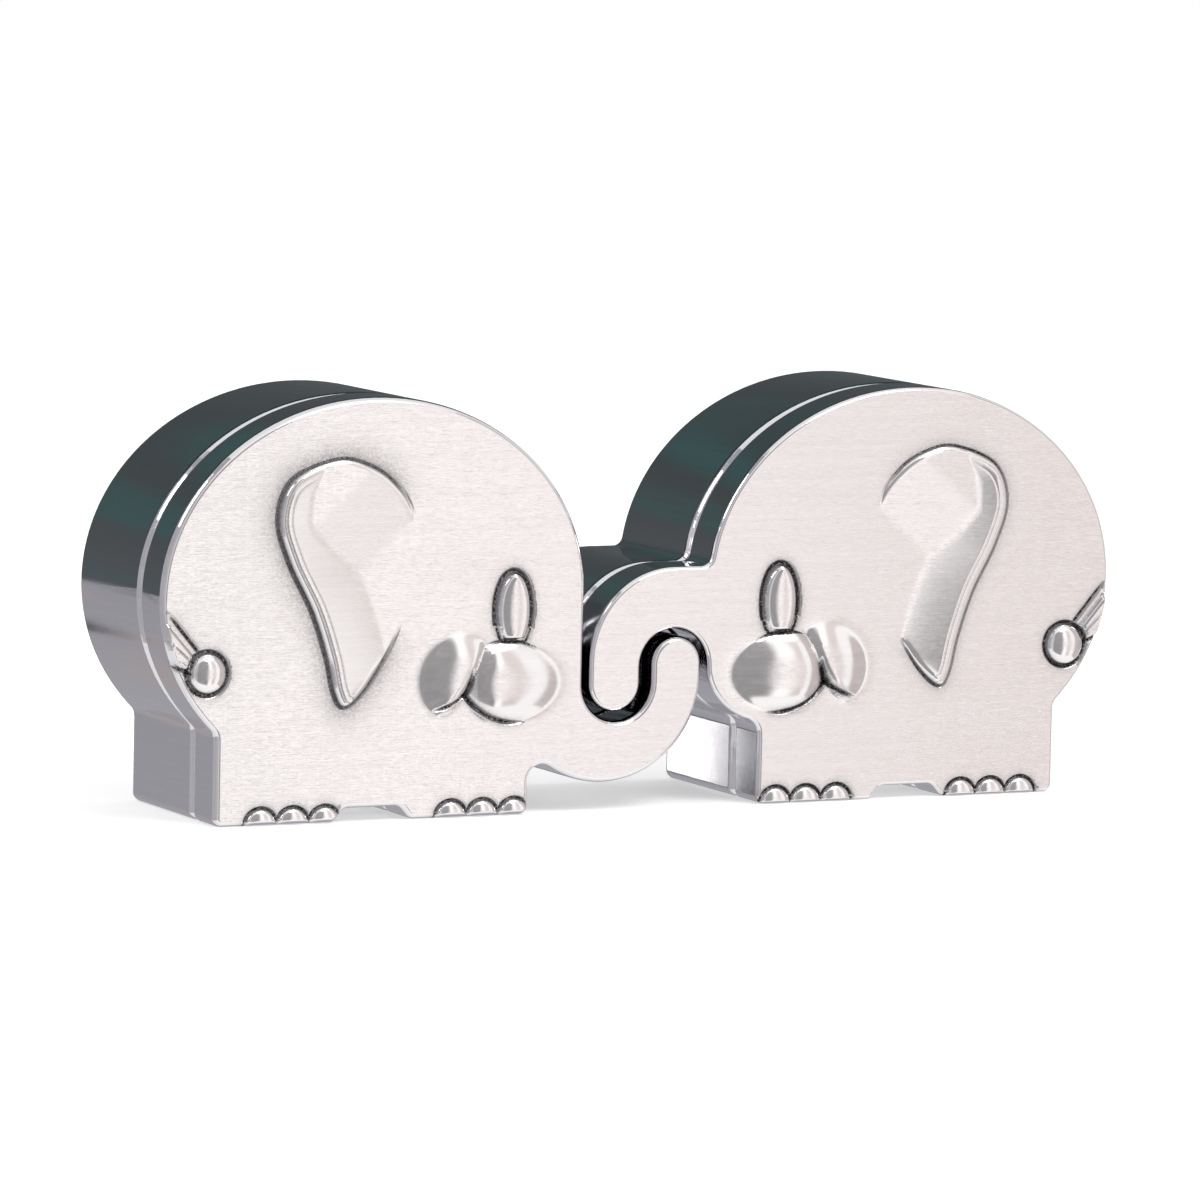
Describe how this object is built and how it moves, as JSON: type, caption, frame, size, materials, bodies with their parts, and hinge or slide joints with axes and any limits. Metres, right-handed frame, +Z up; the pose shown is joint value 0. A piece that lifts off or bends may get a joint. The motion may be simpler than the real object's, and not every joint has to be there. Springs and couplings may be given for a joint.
{
  "type": "elephant keepsake box pair",
  "caption": "Hollow cast metal elephant boxes that hook together by their trunks, each closed by a pull-off lid with relief.",
  "frame": {"origin": "on the floor, in the middle of the pair's length and depth", "axes": "+Z up, +X towards the right-hand box, the relief faces -Y"},
  "size_m": [0.1178, 0.0252, 0.047],
  "materials": {
    "case_metal": "polished plated zinc casting",
    "lid_metal": "fine brushed, dark in the recesses",
    "magnet_metal": "nickel plated",
    "liner_cloth": "short flock"
  },
  "bodies": {
    "tooth_box": {"tooth_base": "case_metal", "tooth_liner": "liner_cloth", "tooth_base_magnets": "magnet_metal"},
    "tooth_cover": {"tooth_lid": "lid_metal", "tooth_lid_magnets": "magnet_metal"},
    "curl_box": {"curl_base": "case_metal", "curl_liner": "liner_cloth", "curl_base_magnets": "magnet_metal"},
    "curl_cover": {"curl_lid": "lid_metal", "curl_lid_magnets": "magnet_metal"}
  },
  "joints": [
    {"name": "tooth_lid_pull", "type": "slide", "parent": "tooth_box", "child": "tooth_cover", "axis": [0, -1, 0], "range_m": [0, 0.03]},
    {"name": "curl_box_lift", "type": "slide", "parent": "tooth_box", "child": "curl_box", "axis": [0, 0, 1], "range_m": [0, 0.03]},
    {"name": "curl_lid_pull", "type": "slide", "parent": "curl_box", "child": "curl_cover", "axis": [0, -1, 0], "range_m": [0, 0.03]}
  ]
}
